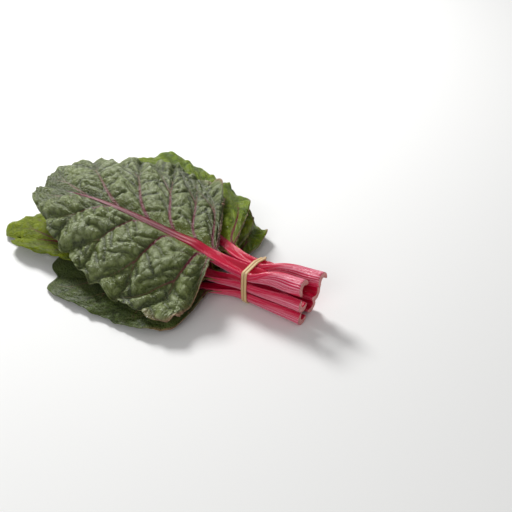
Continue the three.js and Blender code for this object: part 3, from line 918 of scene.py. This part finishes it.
@dataclass
class RubberBand:
    """A flat rubber band stretched twice round the stalks."""

    width: float = 2.8
    thick: float = 1.5
    step: float = 1.65  # half the distance between the middles of its two turns
    crossing: float = 1.75  # height of one turn above the other where they cross
    parted: float = 45.0  # degrees from the crossing where the turns lie side by side
    down: float = 85.0  # degrees from the crossing where both turns touch the stalks
    room: float = 0.12  # between the stalks and the band
    reach: float = 5.0  # the stalks are held this far to each side of the middle of the band
    flatness: float = 0.55  # of the sides of its section, from 1 for an ellipse to 0 for a box
    steps: int = 360  # in its two turns
    around: int = 16  # points of its section

    def build(self, stalks: list[bpy.types.Object]) -> bpy.types.Object:
        """Makes the band round what the stalks' outlines need.

        Args:
            stalks: the finished stalks.

        Returns:
            The finished band.
        """
        held = np.concatenate([self._held(stalk) for stalk in stalks])
        turn = np.arange(self.steps) / self.steps * 4 * np.pi
        aim = np.stack([np.cos(turn), np.sin(turn)], axis=-1)
        touch = held[np.argmax(aim @ held.T, axis=1)]
        parted, down = math.radians(self.parted / 2), math.radians(self.down / 2)
        rise = self.crossing * ramp(np.cos(turn / 2), math.cos(down), math.cos(parted))
        shift = self.step * np.clip(np.sin(turn / 2) / math.sin(parted), -1.0, 1.0)
        shift += 0.12 * waves(turn * 9, np.zeros_like(turn), 3.0, 5)
        corner = np.linspace(0, 2 * np.pi, self.around, endpoint=False)
        wide = self._squared(np.cos(corner)) * self.width / 2
        high = self._squared(np.sin(corner)) * self.thick / 2
        radius = (self.thick / 2 + self.room + rise)[:, None] + high[None, :]
        points = np.stack([
            shift[:, None] + wide[None, :],
            touch[:, None, 0] + radius * aim[:, None, 0],
            touch[:, None, 1] + radius * aim[:, None, 1],
        ], axis=-1)
        number = np.arange(self.steps * self.around).reshape(self.steps, self.around)
        after, onward = np.roll(number, -1, axis=1), np.roll(number, -1, axis=0)
        faces = np.stack([number, after, np.roll(after, -1, axis=0), onward], axis=-1).reshape(-1, 4)
        piece = new_piece("rubber_band_two_turns", points.reshape(-1, 3), faces.tolist())
        flat = np.stack(np.broadcast_arrays(turn[:, None] * 12, wide[None, :], high[None, :]), axis=-1)
        add_value(piece, "flat", flat.reshape(-1, 3))
        return piece

    def _held(self, stalk: bpy.types.Object) -> Array:
        """Finds the points of a stalk that the band may touch.

        Args:
            stalk: a finished stalk.

        Returns:
            How far across the bunch and how high each one is.
        """
        points = np.zeros(len(stalk.data.vertices) * 3, np.float32)
        stalk.data.vertices.foreach_get("co", points)
        points = points.reshape(-1, 3) / MM - SHIFT
        return points[np.abs(points[:, 0]) < self.reach][:, 1:]

    def _squared(self, wave: Array) -> Array:
        """Turns a round section into one with flat sides.

        Args:
            wave: cosine or sine of the angle round the section.

        Returns:
            Where the flattened section is, from -1 to 1.
        """
        return np.sign(wave) * np.abs(wave) ** self.flatness


# ---- Finishes ----


class Nodes:
    """A node tree being wired, with short ways to add and join nodes."""

    def __init__(self, tree: bpy.types.NodeTree) -> None:
        """Takes the tree to wire."""
        self.tree = tree

    def add(self, kind: str, **settings: object) -> bpy.types.Node:
        """Returns a new node with these settings."""
        node = self.tree.nodes.new(kind)
        for name, value in settings.items():
            setattr(node, name, value)
        return node

    def put(self, socket: bpy.types.NodeSocket, value: object) -> None:
        """Links an output to a socket, or sets the socket's own value."""
        if isinstance(value, bpy.types.NodeSocket):
            self.tree.links.new(value, socket)
        elif isinstance(value, tuple) and len(value) == 3 and socket.type == "RGBA":
            socket.default_value = (*value, 1.0)
        else:
            socket.default_value = value

    def value(self, name: str) -> bpy.types.NodeSocket:
        """Returns a stored number of the piece."""
        return self.add("ShaderNodeAttribute", attribute_name=name).outputs["Fac"]

    def vector(self, name: str) -> bpy.types.NodeSocket:
        """Returns a stored vector of the piece."""
        return self.add("ShaderNodeAttribute", attribute_name=name).outputs["Vector"]

    def math(self, kind: str, a: object, b: object = 0.0) -> bpy.types.NodeSocket:
        """Returns the result of a sum on two numbers."""
        node = self.add("ShaderNodeMath", operation=kind)
        self.put(node.inputs[0], a)
        self.put(node.inputs[1], b)
        return node.outputs[0]

    def fit(self, value: object, low: float, high: float, to_low: float = 0.0,
            to_high: float = 1.0) -> bpy.types.NodeSocket:
        """Returns a number carried smoothly from one range to another."""
        node = self.add("ShaderNodeMapRange", interpolation_type="SMOOTHSTEP")
        for socket, number in zip(node.inputs, (value, low, high, to_low, to_high)):
            self.put(socket, number)
        return node.outputs[0]

    def mix(self, share: object, a: object, b: object) -> bpy.types.NodeSocket:
        """Returns a mix of two colours."""
        node = self.add("ShaderNodeMix", data_type="RGBA")
        self.put(node.inputs["Factor"], share)
        self.put(node.inputs[6], a)
        self.put(node.inputs[7], b)
        return node.outputs[2]

    def noise(self, vector: object, scale: float, detail: float = 3.0) -> bpy.types.NodeSocket:
        """Returns a noise from 0 to 1."""
        node = self.add("ShaderNodeTexNoise")
        self.put(node.inputs["Vector"], vector)
        self.put(node.inputs["Scale"], scale)
        self.put(node.inputs["Detail"], detail)
        return node.outputs["Fac"]

    def bump(self, shader: bpy.types.Node, height: object, strength: float, depth: float) -> None:
        """Gives a shader fine relief.

        Args:
            shader: of the material.
            height: of the relief, from 0 to 1.
            strength: share of the relief that shows.
            depth: of the whole relief, in metres.
        """
        node = self.add("ShaderNodeBump")
        self.put(node.inputs["Height"], height)
        self.put(node.inputs["Strength"], strength)
        self.put(node.inputs["Distance"], depth)
        self.put(shader.inputs["Normal"], node.outputs["Normal"])

    def group(self, tree: bpy.types.NodeTree, **values: object) -> bpy.types.Node:
        """Returns a placed node group with these inputs."""
        node = self.add("ShaderNodeGroup", node_tree=tree)
        for name, value in values.items():
            self.put(node.inputs[name.replace("_", " ")], value)
        return node


def new_group(name: str, takes: dict[str, str],
              gives: dict[str, str]) -> tuple[Nodes, bpy.types.Node, bpy.types.Node]:
    """Starts a shared effect.

    Args:
        name: of the node group.
        takes: name and kind of each input.
        gives: name and kind of each output.

    Returns:
        Its tree, its inputs and its outputs.
    """
    tree = bpy.data.node_groups.new(name, "ShaderNodeTree")
    for way, sockets in (("INPUT", takes), ("OUTPUT", gives)):
        for label, kind in sockets.items():
            tree.interface.new_socket(name=label, in_out=way, socket_type=f"NodeSocket{kind}")
    nodes = Nodes(tree)
    return nodes, nodes.add("NodeGroupInput"), nodes.add("NodeGroupOutput")


def new_material(name: str) -> tuple[bpy.types.Material, Nodes, bpy.types.Node]:
    """Returns a new material, its nodes to wire and its shader."""
    material = bpy.data.materials.new(name)
    material.use_nodes = True
    return material, Nodes(material.node_tree), material.node_tree.nodes["Principled BSDF"]


def set_surface(shader: bpy.types.Node, values: dict[str, object]) -> None:
    """Sets what is the same all over a surface.

    Args:
        shader: of the material.
        values: the value of each of its sockets.
    """
    for socket, value in values.items():
        shader.inputs[socket].default_value = value


class Effects:
    """The effects that several finishes share."""

    def __init__(self) -> None:
        """Builds each effect once."""
        self.mottle = self._mottle()
        self.net = self._net()
        self.fibres = self._fibres()

    @staticmethod
    def _mottle() -> bpy.types.NodeTree:
        """Returns the uneven tone of plant tissue: broad clouds and fine flecks."""
        nodes, takes, gives = new_group("tissue_mottle", {"Flat": "Vector", "Size": "Float"},
                                        {"Clouds": "Float", "Flecks": "Float"})
        scaled = nodes.add("ShaderNodeVectorMath", operation="SCALE")
        nodes.put(scaled.inputs[0], takes.outputs["Flat"])
        nodes.put(scaled.inputs["Scale"], takes.outputs["Size"])
        clouds = nodes.noise(scaled.outputs[0], 0.05, 4.0)
        flecks = nodes.noise(scaled.outputs[0], 0.8, 5.0)
        nodes.put(gives.inputs["Clouds"], nodes.fit(clouds, 0.32, 0.68))
        nodes.put(gives.inputs["Flecks"], nodes.fit(flecks, 0.3, 0.7))
        return nodes.tree

    @staticmethod
    def _net() -> bpy.types.NodeTree:
        """Returns the fine net of veins, as lines and as a height between them."""
        nodes, takes, gives = new_group("fine_vein_net", {"Flat": "Vector", "Scale": "Float"},
                                        {"Lines": "Float", "Height": "Float"})
        warp = nodes.add("ShaderNodeTexNoise")
        nodes.put(warp.inputs["Vector"], takes.outputs["Flat"])
        nodes.put(warp.inputs["Scale"], 0.25)
        moved = nodes.add("ShaderNodeVectorMath", operation="MULTIPLY_ADD")
        nodes.put(moved.inputs[0], warp.outputs["Color"])
        moved.inputs[1].default_value = (3.0, 3.0, 0.0)
        nodes.put(moved.inputs[2], takes.outputs["Flat"])
        cells = nodes.add("ShaderNodeTexVoronoi", feature="DISTANCE_TO_EDGE")
        nodes.put(cells.inputs["Vector"], moved.outputs[0])
        nodes.put(cells.inputs["Scale"], takes.outputs["Scale"])
        nodes.put(gives.inputs["Lines"], nodes.fit(cells.outputs["Distance"], 0.0, 0.1, 1.0, 0.0))
        nodes.put(gives.inputs["Height"], nodes.fit(cells.outputs["Distance"], 0.0, 0.35))
        return nodes.tree

    @staticmethod
    def _fibres() -> bpy.types.NodeTree:
        """Returns streaks that run along a stalk or a band."""
        nodes, takes, gives = new_group("long_fibres",
                                        {"Flat": "Vector", "Along": "Float", "Across": "Float"},
                                        {"Streaks": "Float", "Height": "Float"})
        split = nodes.add("ShaderNodeSeparateXYZ")
        nodes.put(split.inputs[0], takes.outputs["Flat"])
        joined = nodes.add("ShaderNodeCombineXYZ")
        nodes.put(joined.inputs[0], nodes.math("MULTIPLY", split.outputs[0], takes.outputs["Along"]))
        for i in (1, 2):
            nodes.put(joined.inputs[i], nodes.math("MULTIPLY", split.outputs[i], takes.outputs["Across"]))
        streaks = nodes.noise(joined.outputs[0], 1.0, 4.0)
        nodes.put(gives.inputs["Streaks"], nodes.fit(streaks, 0.3, 0.7))
        nodes.put(gives.inputs["Height"], streaks)
        return nodes.tree


@dataclass(frozen=True)
class LeafFinish:
    """The colours of one kind of blade, with painted shade in its valleys and painted sheen on its crests,
    and how it takes the light.
    """

    body: Colour
    # painted shade: the darker colour laid in the valleys and creases of the relief
    painted_valley_shade: Colour  # in the valleys
    # painted sheen: the pale colour laid on the crests, standing in for the light they catch
    pale: Colour  # on the crests
    flush: Colour  # yellow-green patches
    underside: Colour
    vein: Colour = (0.16, 0.2, 0.07)
    red: Colour = (0.16, 0.003, 0.027)
    edge: Colour = (0.3, 0.17, 0.1)
    patches: float = 0.5
    roughness: float = 0.38
    glow: float = 0.18  # share of the light that goes into the tissue
    shine: float = 0.5

    def make(self, name: str, effects: Effects) -> bpy.types.Material:
        """Makes the material.

        Args:
            name: of the material.
            effects: the shared effects.

        Returns:
            The material.
        """
        material, nodes, shader = new_material(name)
        flat = nodes.vector("flat")
        mottle = nodes.group(effects.mottle, Flat=flat, Size=1.0)
        net = nodes.group(effects.net, Flat=flat, Scale=0.34)
        fine = nodes.group(effects.net, Flat=flat, Scale=0.95)
        crest = nodes.value("crest")
        # painted shade: the colour darkens from the crests down into the valleys
        colour = nodes.mix(nodes.fit(crest, 0.12, 0.68), self.painted_valley_shade, self.body)
        # painted sheen: a pale veil on the crests, broken up by flecks
        sheen_on_crest = nodes.fit(crest, 0.45, 1.0)
        painted_sheen = nodes.math("MULTIPLY", sheen_on_crest, nodes.fit(mottle.outputs["Flecks"], 0.1, 1.0, 0.35, 0.9))
        colour = nodes.mix(painted_sheen, colour, self.pale)
        patch = nodes.math("MULTIPLY", mottle.outputs["Clouds"], self.patches)
        near = nodes.math("MULTIPLY", nodes.value("near_rib"), 0.8)
        colour = nodes.mix(nodes.math("MAXIMUM", patch, near), colour, self.flush)
        lines = nodes.math("MULTIPLY", net.outputs["Lines"], 0.22)
        colour = nodes.mix(lines, colour, self.vein)
        colour = nodes.mix(nodes.math("MULTIPLY", nodes.value("below"), 0.85), colour, self.underside)
        edge = nodes.math("MULTIPLY", nodes.fit(nodes.value("rim"), 0.93, 1.0), nodes.value("basal"))
        colour = nodes.mix(edge, colour, self.edge)
        side_mask = nodes.fit(nodes.value("side_mm"), 0.2, 1.5, 1.0, 0.0)
        side_tone = nodes.mix(nodes.value("side_red"), self.vein, self.red)
        colour = nodes.mix(nodes.math("MULTIPLY", side_mask, 0.55), colour, side_tone)
        main_mask = nodes.fit(nodes.value("vein_mm"), 0.35, 1.25, 1.0, 0.0)
        main_tone = nodes.mix(nodes.value("vein_red"), self.vein, self.red)
        colour = nodes.mix(nodes.math("MULTIPLY", main_mask, 0.92), colour, main_tone)
        nodes.put(shader.inputs["Base Color"], colour)
        nodes.put(shader.inputs["Roughness"],
                  nodes.fit(mottle.outputs["Flecks"], 0.0, 1.0, self.roughness - 0.07, self.roughness + 0.1))
        set_surface(shader, {
            "Subsurface Weight": self.glow,
            "Subsurface Radius": (0.7, 1.0, 0.25),
            "Subsurface Scale": 0.0025,
            "Specular IOR Level": self.shine,
            "Coat Weight": 0.2 * self.shine,
            "Coat Roughness": 0.3,
        })
        height = nodes.math("MULTIPLY_ADD", fine.outputs["Height"], 0.35)
        nodes.put(height.node.inputs[2], net.outputs["Height"])
        height = nodes.math("ADD", height, nodes.math("MULTIPLY", mottle.outputs["Flecks"], 0.5))
        nodes.bump(shader, height, strength=0.8, depth=0.0012)
        return material


@dataclass(frozen=True)
class StalkFinish:
    """The colours of a stalk: a crimson channel, a ribbed pink back and a pale cut face."""

    channel: Colour = (0.6, 0.002, 0.042)
    back: Colour = (0.56, 0.007, 0.06)
    # paler pink for the rib crests: partly the ribs' own tone, partly a painted highlight
    rib: Colour = (0.84, 0.34, 0.44)
    groove: Colour = (0.26, 0.002, 0.018)
    flesh: Colour = (0.8, 0.42, 0.38)
    pith: Colour = (0.52, 0.09, 0.1)
    tip: Colour = (0.1, 0.0005, 0.01)  # of the midrib, where it thins out in the blade

    def make(self, name: str, effects: Effects) -> bpy.types.Material:
        """Makes the material.

        Args:
            name: of the material.
            effects: the shared effects.

        Returns:
            The material.
        """
        material, nodes, shader = new_material(name)
        flat = nodes.vector("flat")
        fibres = nodes.group(effects.fibres, Flat=flat, Along=0.03, Across=0.9)
        fine = nodes.group(effects.fibres, Flat=flat, Along=0.12, Across=2.6)
        mottle = nodes.group(effects.mottle, Flat=flat, Size=1.6)
        # the rib crests are mixed towards the paler pink: part the ribs' own tone, part painted highlight
        crest = nodes.fit(nodes.value("rib"), -0.45, 0.7)
        back = nodes.mix(crest, self.back, self.rib)
        back = nodes.mix(nodes.math("MULTIPLY", fibres.outputs["Streaks"], 0.35), back, self.back)
        lines = nodes.math("MULTIPLY", nodes.fit(fibres.outputs["Streaks"], 0.6, 0.85), 0.5)
        flank = nodes.mix(lines, nodes.mix(fine.outputs["Streaks"], self.channel, self.back), self.rib)
        back = nodes.mix(nodes.value("ribbed"), flank, back)
        channel = nodes.mix(nodes.math("MULTIPLY", fine.outputs["Streaks"], 0.3), self.channel, self.groove)
        colour = nodes.mix(nodes.value("channel"), back, channel)
        in_blade = nodes.fit(nodes.value("from_band"), 45.0, 130.0)
        colour = nodes.mix(nodes.math("MULTIPLY", in_blade, 0.7), colour, self.channel)
        colour = nodes.mix(nodes.fit(nodes.value("from_band"), 30.0, 110.0, 0.0, 0.92), colour, self.tip)
        flesh = nodes.mix(mottle.outputs["Flecks"], self.flesh, self.pith)
        colour = nodes.mix(nodes.value("cut"), colour, flesh)
        nodes.put(shader.inputs["Base Color"], colour)
        gloss = nodes.fit(fine.outputs["Streaks"], 0.0, 1.0, 0.24, 0.4)
        dull = nodes.fit(nodes.value("from_band"), 40.0, 110.0, 0.0, 0.12)
        nodes.put(shader.inputs["Roughness"], nodes.math("ADD", gloss, dull))
        set_surface(shader, {
            "Subsurface Weight": 0.08,
            "Subsurface Radius": (1.0, 0.2, 0.2),
            "Subsurface Scale": 0.0015,
            "Specular IOR Level": 0.32,
            "Coat Weight": 0.08,
            "Coat Roughness": 0.25,
        })
        flecks = nodes.math("MULTIPLY", mottle.outputs["Flecks"], 0.3)
        nodes.bump(shader, nodes.math("ADD", fine.outputs["Height"], flecks), strength=0.4, depth=0.0003)
        return material


@dataclass(frozen=True)
class RubberFinish:
    """Undyed rubber: tan, slightly see-through and matt."""

    light: Colour = (0.74, 0.56, 0.3)
    dark: Colour = (0.58, 0.38, 0.17)

    def make(self, name: str, effects: Effects) -> bpy.types.Material:
        """Makes the material.

        Args:
            name: of the material.
            effects: the shared effects.

        Returns:
            The material.
        """
        material, nodes, shader = new_material(name)
        flat = nodes.vector("flat")
        streaks = nodes.group(effects.fibres, Flat=flat, Along=0.1, Across=1.6)
        mottle = nodes.group(effects.mottle, Flat=flat, Size=2.0)
        both = nodes.math("ADD", streaks.outputs["Streaks"], mottle.outputs["Clouds"])
        tone = nodes.math("MULTIPLY", both, 0.5)
        nodes.put(shader.inputs["Base Color"], nodes.mix(tone, self.light, self.dark))
        nodes.put(shader.inputs["Roughness"], nodes.fit(mottle.outputs["Flecks"], 0.0, 1.0, 0.42, 0.6))
        set_surface(shader, {
            "Subsurface Weight": 0.2,
            "Subsurface Radius": (1.0, 0.7, 0.4),
            "Subsurface Scale": 0.001,
        })
        nodes.bump(shader, streaks.outputs["Height"], strength=0.3, depth=0.0002)
        return material


TISSUES = {
    Tissue.GREY_GREEN: LeafFinish(
        body=(0.165, 0.2, 0.062), painted_valley_shade=(0.018, 0.027, 0.004), pale=(0.54, 0.6, 0.42),
        flush=(0.17, 0.22, 0.02), underside=(0.15, 0.14, 0.06), patches=0.3, glow=0.08,
    ),
    Tissue.BRIGHT: LeafFinish(
        body=(0.15, 0.22, 0.005), painted_valley_shade=(0.06, 0.1, 0.003), pale=(0.25, 0.33, 0.03),
        flush=(0.26, 0.33, 0.008), underside=(0.14, 0.19, 0.03), patches=0.45, glow=0.2, shine=0.18,
    ),
    Tissue.YELLOW: LeafFinish(
        body=(0.19, 0.24, 0.005), painted_valley_shade=(0.09, 0.12, 0.003), pale=(0.3, 0.36, 0.03),
        flush=(0.28, 0.34, 0.008), underside=(0.2, 0.25, 0.03), patches=0.5, glow=0.2, shine=0.12,
    ),
    # painted shade: the same leaf colours made darker because this leaf lies in shade
    Tissue.PAINTED_SHADE: LeafFinish(
        body=(0.06, 0.09, 0.018), painted_valley_shade=(0.025, 0.04, 0.006), pale=(0.11, 0.15, 0.05),
        flush=(0.11, 0.14, 0.015), underside=(0.08, 0.08, 0.03), patches=0.35, roughness=0.55, shine=0.3,
    ),
}


# ---- Studio ----


@dataclass(frozen=True)
class Studio:
    """The camera, the lights and the floor."""

    azimuth: float = 33.0
    elevation: float = 36.0
    distance: float = 0.985
    lens: float = 70.0
    aim: tuple[float, float, float] = (0.1074, -0.0087, 0.0506)

    def place_camera(self) -> None:
        """Stands the camera at its angle, looking at the aim."""
        data = bpy.data.cameras.new("camera")
        data.lens = self.lens
        camera = bpy.data.objects.new("camera", data)
        bpy.context.collection.objects.link(camera)
        a, e = math.radians(self.azimuth), math.radians(self.elevation)
        back = Vector((math.sin(a) * math.cos(e), -math.cos(a) * math.cos(e), math.sin(e)))
        camera.location = Vector(self.aim) + back * self.distance
        camera.rotation_euler = back.to_track_quat("Z", "Y").to_euler()
        bpy.context.scene.camera = camera

    @staticmethod
    def lamp(name: str, at: tuple[float, float, float], size: float, power: float) -> None:
        """Hangs a soft square lamp that faces the bunch.

        Args:
            name: of the lamp.
            at: its place, in metres.
            size: of its side, in metres.
            power: in watts.
        """
        data = bpy.data.lights.new(name, "AREA")
        data.size = size
        data.energy = power
        lamp = bpy.data.objects.new(name, data)
        lamp.location = at
        lamp.rotation_euler = Vector(at).to_track_quat("Z", "Y").to_euler()
        bpy.context.collection.objects.link(lamp)

    def build(self) -> None:
        """Sets up the whole studio."""
        self.place_camera()
        bpy.context.scene.view_settings.view_transform = "Standard"
        self.lamp("key", (-0.95, 0.55, 0.95), 0.4, 24.0)
        self.lamp("front", (0.3, -1.4, 0.9), 0.9, 7.0)
        world = bpy.data.worlds.new("studio")
        world.use_nodes = True
        world.node_tree.nodes["Background"].inputs["Color"].default_value = (1.0, 1.0, 1.0, 1.0)
        world.node_tree.nodes["Background"].inputs["Strength"].default_value = 0.33
        bpy.context.scene.world = world
        mesh = bpy.data.meshes.new("floor")
        reach = 3.0
        mesh.from_pydata([(-reach, -reach, 0), (reach, -reach, 0), (reach, reach, 0), (-reach, reach, 0)], [],
                         [(0, 1, 2, 3)])
        floor = bpy.data.objects.new("floor", mesh)
        bpy.context.collection.objects.link(floor)
        paper, _, shader = new_material("pale_floor")
        set_surface(shader, {"Base Color": (0.86, 0.86, 0.85, 1.0), "Roughness": 0.8})
        mesh.materials.append(paper)


# ---- The bunch ----


# What differs from the usual blade, by the number of the leaf.
GROWTH = {
    4: {"front": 0.66, "blunt": (1.3, 1.3)},
    6: {"rows": 230, "columns": 100, "fold": 9.5, "pucker": 3.8, "blister": 1.5, "lobe": 26.0,
        "blunt": (0.3, 0.25)},
}


class Bunch:
    """The whole bunch: the leaves from the lowest to the topmost, and the band."""

    def __init__(self) -> None:
        """Makes the finishes that the pieces share."""
        self.pile = Pile(LEAVES)
        effects = Effects()
        self.tissues = {kind: finish.make(f"leaf_{kind.value}", effects) for kind, finish in TISSUES.items()}
        self.stalk_finish = StalkFinish().make("crimson_stalk", effects)
        self.rubber = RubberFinish().make("tan_rubber", effects)

    def build(self) -> None:
        """Builds every piece in its place."""
        stalks = [self.add_leaf(leaf) for leaf in LEAVES]
        band = RubberBand().build(stalks)
        band.data.materials.append(self.rubber)
        fit_in_bunch(band, "rubber_band")

    def add_leaf(self, leaf: Leaf) -> bpy.types.Object:
        """Builds one leaf.

        Args:
            leaf: which one.

        Returns:
            Its stalk.
        """
        growth = {**GROWTH.get(leaf.number, {}), **{}}
        blade = Blade(leaf, self.pile, **growth).build()
        blade.data.materials.append(self.tissues[leaf.tissue])
        fit_in_bunch(blade, f"blade_{leaf.number}")
        stalk = Stalk(leaf, self.pile).build()
        stalk.data.materials.append(self.stalk_finish)
        fit_in_bunch(stalk, f"stalk_{leaf.number}")
        return stalk


def write_sizes() -> None:
    """Brings the scene up to date; no box is written here."""
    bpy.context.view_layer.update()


def main() -> None:
    """Builds the studio and the bunch."""
    logging.basicConfig(level=logging.INFO, format="%(name)s: %(message)s")
    Studio().build()
    Bunch().build()
    bpy.context.view_layer.update()
    write_sizes()


if __name__ == "__main__":
    main()
